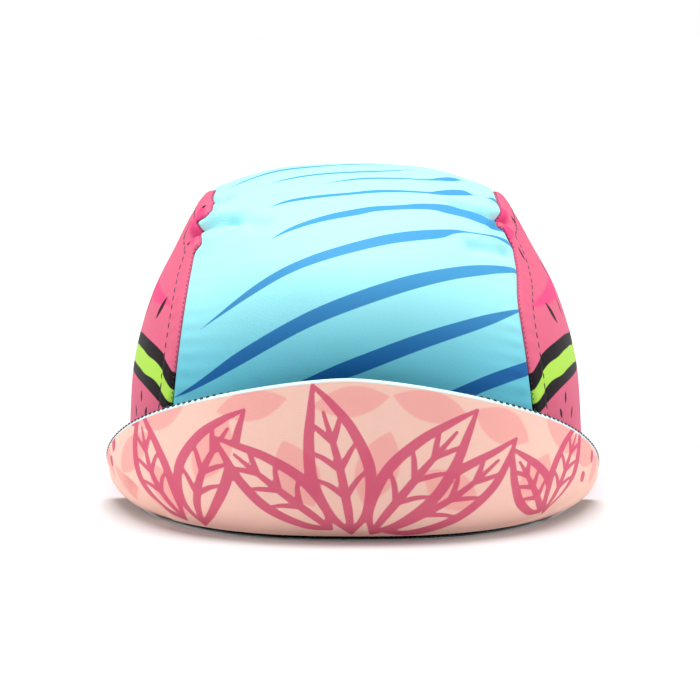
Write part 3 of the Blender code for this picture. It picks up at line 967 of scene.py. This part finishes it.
def twill(tree, spacing, slant=1.0):
    """The fine diagonal ribs of twill, from 0 to 1, and the cloth's places."""
    places = add(tree, "ShaderNodeAttribute", {"attribute_name": "cloth"}).outputs["Vector"]
    split = add(tree, "ShaderNodeSeparateXYZ", {}, in0=places)
    diagonal = maths(tree, "ADD", split.outputs[0], maths(tree, "MULTIPLY", split.outputs[1], slant))
    ribs = maths(tree, "SINE", maths(tree, "MULTIPLY", diagonal, 2 * math.pi / spacing))
    threads = maths(tree, "SINE", maths(tree, "MULTIPLY", split.outputs[1], 2 * math.pi / (spacing * 0.55)))
    both = maths(tree, "ADD", maths(tree, "MULTIPLY", ribs, 0.35), maths(tree, "MULTIPLY", threads, 0.15))
    return maths(tree, "ADD", both, 0.5), places


def new_material(name, roughness, sheen):
    """A material, its node tree and its shader."""
    material = bpy.data.materials.new(name)
    material.use_nodes = True
    shader = material.node_tree.nodes["Principled BSDF"]
    shader.inputs["Roughness"].default_value = roughness
    shader.inputs["Sheen Weight"].default_value = sheen
    return material, material.node_tree, shader


def add_relief(tree, shader, strength, metres, height):
    relief = add(tree, "ShaderNodeBump", {}, Strength=strength, Distance=metres, Height=height)
    tree.links.new(relief.outputs[0], shader.inputs["Normal"])


WORN = 0.03  # how much the cloth's tone varies from place to place


def cloth(name, ground, prints=(), rib_spacing=0.85, rib_dark=0.14, slant=1.0, bare=0.02, painted_light_colours=()):
    """Printed twill. prints are (mask, field, colour, softness in millimetres, strength), the last one on top.

    bare is how much of the ground shows through a print on the ribs. The last argument holds paler, lit copies of
    the ground's and the prints' colours: painted light, mixed in where a field on the mesh says, brightening the
    crown's top.
    """
    material, tree, shader = new_material(name, 0.62, 0.04)
    shader.inputs["Specular IOR Level"].default_value = 0.1
    shader.inputs["Sheen Roughness"].default_value = 0.35
    ribs, places = twill(tree, rib_spacing, slant)
    blotch = add(tree, "ShaderNodeTexNoise", {}, Vector=places, Scale=0.09, Detail=3.0).outputs["Fac"]
    speck = add(tree, "ShaderNodeTexNoise", {}, Vector=places, Scale=2.2, Detail=2.0).outputs["Fac"]
    colours = [ground] + [row[2] for row in prints]
    # Painted light: the colours turn to their paler, lit copies as the field rises towards the crown's top
    if painted_light_colours:
        fade = add(tree, "ShaderNodeAttribute", {"attribute_name": "fade"}).outputs["Fac"]
        colours = [mixed(tree, fade, full, faded) for full, faded in zip(colours, painted_light_colours)]
    colour = mixed(tree, 0.0, colours[0], colours[0])
    for (mask_of, field, _, softness, strength), print_colour in zip(prints, colours[1:]):
        inked = maths(tree, "SUBTRACT", strength, maths(tree, "MULTIPLY", ribs, bare))
        mask = maths(tree, "MULTIPLY", mask_of(tree, field, softness), inked)
        colour = mixed(tree, mask, colour, print_colour)
    light = maths(tree, "ADD", maths(tree, "MULTIPLY", blotch, 2 * WORN), 1.0 - WORN)
    shade = maths(tree, "SUBTRACT", light, maths(tree, "MULTIPLY", ribs, rib_dark))
    shade = maths(tree, "ADD", shade, maths(tree, "MULTIPLY", speck, rib_dark))
    grey = add(tree, "ShaderNodeCombineColor", {}, in0=shade, in1=shade, in2=shade).outputs[0]
    tree.links.new(mixed(tree, 1.0, colour, grey, "MULTIPLY"), shader.inputs["Base Color"])
    height = maths(tree, "ADD", ribs, maths(tree, "MULTIPLY", speck, 0.6))
    add_relief(tree, shader, 0.2, 0.0002, height)
    return material


def thread_material(name, colour):
    material, tree, shader = new_material(name, 0.6, 0.3)
    places = add(tree, "ShaderNodeTexCoord").outputs["Object"]
    bands = {"bands_direction": "DIAGONAL"}
    twist = add(tree, "ShaderNodeTexWave", bands, Vector=places, Scale=900.0, Distortion=1.0)
    # Painted shade: the thread is darker in the low parts of its twist
    dark = tuple(0.5 * v for v in colour[:3]) + (1.0,)
    tree.links.new(mixed(tree, twist.outputs["Fac"], dark, colour), shader.inputs["Base Color"])
    add_relief(tree, shader, 0.4, 0.0001, twist.outputs["Fac"])
    return material


def knit_material(name, colour):
    """Ribbed knit, whose ribs run up the band."""
    material, tree, shader = new_material(name, 0.9, 0.4)
    places = add(tree, "ShaderNodeAttribute", {"attribute_name": "cloth"}).outputs["Vector"]
    split = add(tree, "ShaderNodeSeparateXYZ", {}, in0=places)
    ribs = maths(tree, "SINE", maths(tree, "MULTIPLY", split.outputs[0], 2 * math.pi / 1.6))
    loops = maths(tree, "SINE", maths(tree, "MULTIPLY", split.outputs[1], 2 * math.pi / 0.9))
    height = maths(tree, "ADD", ribs, maths(tree, "MULTIPLY", loops, 0.4))
    # Painted shade: the knit is darker where its relief is low, between the ribs and loops
    share = maths(tree, "ADD", maths(tree, "MULTIPLY", height, 0.3), 0.5)
    dark = tuple(0.4 * v for v in colour[:3]) + (1.0,)
    tree.links.new(mixed(tree, share, dark, colour), shader.inputs["Base Color"])
    add_relief(tree, shader, 0.5, 0.0004, height)
    return material


# The cyan and blue below are the centre panel's colours low down; their paler copies are painted light for the
# crown's brighter top
CYAN = linear(96, 183, 202)
PAINTED_LIT_CYAN = linear(162, 230, 234)
BLUE = linear(11, 85, 147)
PAINTED_LIT_BLUE = linear(66, 146, 196)
PINK = linear(212, 97, 126)
MAGENTA = linear(221, 59, 121)
BLACK = linear(9, 13, 17)
LIME = linear(170, 216, 78)
SEED = linear(34, 8, 20)
PEACH = linear(248, 203, 188)
PETAL = linear(245, 164, 160)
ROSE = linear(212, 80, 116)
INSIDE = linear(205, 218, 222)
# Painted highlight: the rim is the cyan upper cloth, coloured pale where light falls on its top
RIM_PAINTED_HIGHLIGHT = linear(206, 236, 240)

# The centre panel's print, with painted light that pales its colours towards the crown's top
centre_outer = cloth(
    "centre_panel_print_painted_light", CYAN, [(shape_mask, "stripes", BLUE, 0.16, 1.0)], painted_light_colours=(PAINTED_LIT_CYAN, PAINTED_LIT_BLUE)
)
side_outer = cloth(
    "side_panel_print",
    PINK,
    [
        (field_mask, "flesh", MAGENTA, 0.7, 0.8),
        (shape_mask, "seeds", SEED, 0.18, 1.0),
        (field_mask, "rind_dark", BLACK, 0.18, 1.0),
        (field_mask, "rind_lime", LIME, 0.18, 1.0),
    ],
)
peak_outer = cloth(
    "peak_print",
    PEACH,
    [(field_mask, "petals", PETAL, 0.5, 0.85), (field_mask, "strokes", ROSE, 0.18, 1.0)],
    rib_spacing=0.95,
    slant=-1.0,
    bare=0.2,
)
cloth_inside = cloth("cloth_inside", INSIDE, rib_dark=0.06)
upper_outer = cloth("peak_upper_cloth", CYAN)
# The rim's cloth carries a painted highlight, paler than the upper cloth it is part of
rim_cloth = cloth("peak_rim_cloth", RIM_PAINTED_HIGHLIGHT, rib_dark=0.05)
band_knit = knit_material("sweatband_knit", linear(24, 24, 28))
black_thread = thread_material("black_thread", linear(20, 20, 26))


# Crown pieces

outer, inner, share, along, across = centre_panel()
from_hem = np.minimum(along, along.max() - along)
centre = make_shell(
    "centre_panel_cloth",
    outer,
    inner,
    [centre_outer, cloth_inside],
    # painted light: 0 below the lower distance from the hem, 1 beyond the upper one
    [("cloth", cloth_places(across, along)), ("fade", smoothstep(*PAINTED_LIGHT_SPAN, from_hem))],
    [("stripes", stripe_shapes(share, along))],
)
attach(centre, "root")
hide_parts("centre_panel")
line, outward = contour(outer, inner, along, along.max() - HEM_STITCH_AT, share)
sewn = stitches("hem_thread_back", line, outward, HEM_STITCH, black_thread)

for side_name, side in (("left", -1), ("right", 1)):
    outer, inner, climb, to_seam, place = side_panel(side)
    y = outer[..., 1]
    dark, lime = rind_fields(y, climb)
    panel = make_shell(
        f"side_panel_{side_name}_cloth",
        outer,
        inner,
        [side_outer, cloth_inside],
        [
            ("flesh", shape_fields(lens_shapes(y, climb, FLESH_STREAKS))),
            ("rind_dark", dark),
            ("rind_lime", lime),
            ("cloth", cloth_places(y, climb)),
        ],
        [("seeds", lens_shapes(y, climb, SEEDS + FRONT_SEEDS[side]))],
        flip=side < 0,
    )
    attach(panel, "root")
    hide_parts(f"side_panel_{side_name}")
    rows = (
        ("topstitch", to_seam, TOPSTITCH_AT, place, TOPSTITCH),
        ("seam_thread", to_seam, SEAM_STITCH_AT, place, SEAM_STITCH),
        ("hem_thread", climb, HEM_STITCH_AT, y, HEM_STITCH),
    )
    for row_name, field, level, order, stitch in rows:
        line, outward = contour(outer, inner, field, level, order)
        stitches(f"{row_name}_{side_name}", line, outward, stitch, black_thread)


# Sweatband

inset = CLOTH + BAND_GAP
inner_side = [(BAND_WALL, 14.0), (BAND_WALL, BAND_TOP), (BAND_WALL / 2, BAND_TOP + 0.4)]
profile = [(0.0, BAND_TOP)] + list(BAND_PROFILE) + inner_side
rings = []
for wall, height in profile:
    loop = oval(inset + wall, max(height, HEM_HEIGHT), BAND_COLUMNS)
    loop[:, 2] = height
    rings.append(loop)
rings = np.stack(rings + rings[:1])
around = np.concatenate([[0.0], np.cumsum(np.linalg.norm(np.diff(rings[0], axis=0), axis=1))])
places = cloth_places(np.broadcast_to(around, rings.shape[:2]), rings[..., 2])
band = make_mesh(
    "sweatband_knit",
    rings[:-1].reshape(-1, 3),
    (quads(len(rings), BAND_COLUMNS, True, False) % (BAND_COLUMNS * (len(rings) - 1))).tolist(),
    [band_knit],
    [("cloth", places[:-1].reshape(-1, 3))],
)
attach(band, "root")
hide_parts("sweatband")


# Peak pieces

grid, along, rise = peak_face()
inner = grid - grid_normals(grid) * PEAK_CLOTH
under = make_shell(
    "peak_under_cloth",
    grid,
    inner,
    [peak_outer, cloth_inside],
    [
        ("petals", shape_fields(lens_shapes(along, rise, PETALS))),
        ("strokes", peak_strokes(along, rise)),
        ("cloth", cloth_places(along, rise)),
    ],
)
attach(under, "root")
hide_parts("peak_under_face")

face = grid[PEAK_STRIP_ROWS:]
coarse = (slice(None, None, 3), slice(None, None, 3))
facing = grid_normals(face)[coarse]
front = face[coarse] - facing * (PEAK_CLOTH + PEAK_FACE_GAP)
upper = make_shell(
    "peak_upper_cloth",
    front - facing * PEAK_CLOTH,
    front,
    [upper_outer, upper_outer],
    [("cloth", cloth_places(along[PEAK_STRIP_ROWS:][coarse], rise[PEAK_STRIP_ROWS:][coarse]))],
    flip=True,
)
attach(upper, "root")
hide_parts("peak_upper_face")

# The upper cloth is turned over the free edge as a narrow rim, coloured paler than the upper cloth as a painted
# highlight along its lit top
edge = grid[-1]
outward = grid_normals(face)[-1]
run = unit(np.gradient(edge, axis=0))
crest = unit(np.cross(outward, run))
crest *= np.sign(crest[:, 2:] + 1e-9)
middle = edge - outward * (PEAK_CLOTH + PEAK_FACE_GAP / 2)
turn = np.linspace(0, 2 * math.pi, RIM_SIDES, endpoint=False)
spin = turn[:, None, None]
tube = middle[None] + RIM_RADIUS * (np.cos(spin) * crest + np.sin(spin) * outward)
tube = np.moveaxis(tube, 0, 1)
edge_run = np.concatenate([[0.0], np.cumsum(np.linalg.norm(np.diff(edge, axis=0), axis=1))])
rim_around = np.broadcast_to(turn * RIM_RADIUS, tube.shape[:2])
rim_places = cloth_places(rim_around, np.broadcast_to(edge_run[:, None], tube.shape[:2]))
rim = make_mesh(
    "peak_rim",
    tube.reshape(-1, 3),
    quads(*tube.shape[:2], True, False).tolist(),
    [rim_cloth],
    [("cloth", rim_places.reshape(-1, 3))],
)
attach(rim, "root")
towards_tip = smoothstep(*RIM_TURNS, np.abs(along[0]) / PEAK_REACH)[:, None]
lean = np.radians(RIM_STITCH_LEANS[0] + (RIM_STITCH_LEANS[1] - RIM_STITCH_LEANS[0]) * towards_tip)
rim_out = np.cos(lean) * crest - np.sin(lean) * outward
stitch_line = middle + RIM_RADIUS * rim_out
rim_thread = stitches("peak_rim_thread", stitch_line, rim_out, RIM_STITCH, black_thread)


# Stage, light and camera, in metres

bpy.ops.mesh.primitive_plane_add(size=8.0, location=(0, 0, 0))
floor = bpy.context.object
floor.name = "floor"
paint = bpy.data.materials.new("pale_floor")
paint.use_nodes = True
paint.node_tree.nodes["Principled BSDF"].inputs["Base Color"].default_value = (0.62, 0.62, 0.62, 1)
paint.node_tree.nodes["Principled BSDF"].inputs["Roughness"].default_value = 0.9
floor.data.materials.append(paint)

world = bpy.data.worlds.new("studio")
world.use_nodes = True
tree = world.node_tree
sky = tree.nodes["Background"]
sky.inputs["Color"].default_value = (1, 1, 1, 1)
sky.inputs["Strength"].default_value = 0.03
seen = add(tree, "ShaderNodeBackground", {}, Color=(1, 1, 1, 1), Strength=1.0)
ray = add(tree, "ShaderNodeLightPath")
by_camera = ray.outputs["Is Camera Ray"]
either = add(tree, "ShaderNodeMixShader", {}, in0=by_camera, in1=sky.outputs[0], in2=seen.outputs[0])
tree.links.new(either.outputs[0], tree.nodes["World Output"].inputs["Surface"])
bpy.context.scene.world = world

LIGHT_COLUMNS = ("name", "from_x", "from_y", "from_z", "softness", "strength")
LIGHTS = (
    ("overhead", 0.0, 0.0, 1.0, 35.0, 4.3),
    ("left", -1.0, -0.22, 0.5, 40.0, 1.8),
    ("right", 1.0, -0.12, 0.5, 40.0, 1.8),
)
for light in named(LIGHT_COLUMNS, LIGHTS):
    data = bpy.data.lights.new(light["name"], "SUN")
    data.angle = math.radians(light["softness"])
    data.energy = light["strength"]
    lamp = bpy.data.objects.new(light["name"], data)
    towards = Vector((-light["from_x"], -light["from_y"], -light["from_z"]))
    lamp.rotation_euler = towards.to_track_quat("-Z", "Y").to_euler()
    bpy.context.scene.collection.objects.link(lamp)

CAMERA_DISTANCE = 0.9534
CAMERA_ELEVATION = math.radians(9.0)
CAMERA_TURN = math.radians(0.95)
AIM_HEIGHT = 0.0492
SENSOR = 36.0
PHOTO_WIDTH = 700
FOCAL_PIXELS = 2634.0
AXIS_PIXEL = 356.2
camera_data = bpy.data.cameras.new("camera")
camera_data.sensor_width = SENSOR
camera_data.lens = FOCAL_PIXELS / PHOTO_WIDTH * SENSOR
camera_data.shift_x = -(AXIS_PIXEL - PHOTO_WIDTH / 2) / PHOTO_WIDTH
camera = bpy.data.objects.new("camera", camera_data)
flat_distance = CAMERA_DISTANCE * math.cos(CAMERA_ELEVATION)
camera.location = (
    flat_distance * math.sin(CAMERA_TURN),
    -flat_distance * math.cos(CAMERA_TURN),
    AIM_HEIGHT + CAMERA_DISTANCE * math.sin(CAMERA_ELEVATION),
)
aim = Vector((0, 0, AIM_HEIGHT)) - camera.location
camera.rotation_euler = aim.to_track_quat("-Z", "Y").to_euler()
bpy.context.scene.collection.objects.link(camera)
bpy.context.scene.camera = camera
bpy.context.scene.view_settings.view_transform = "Standard"
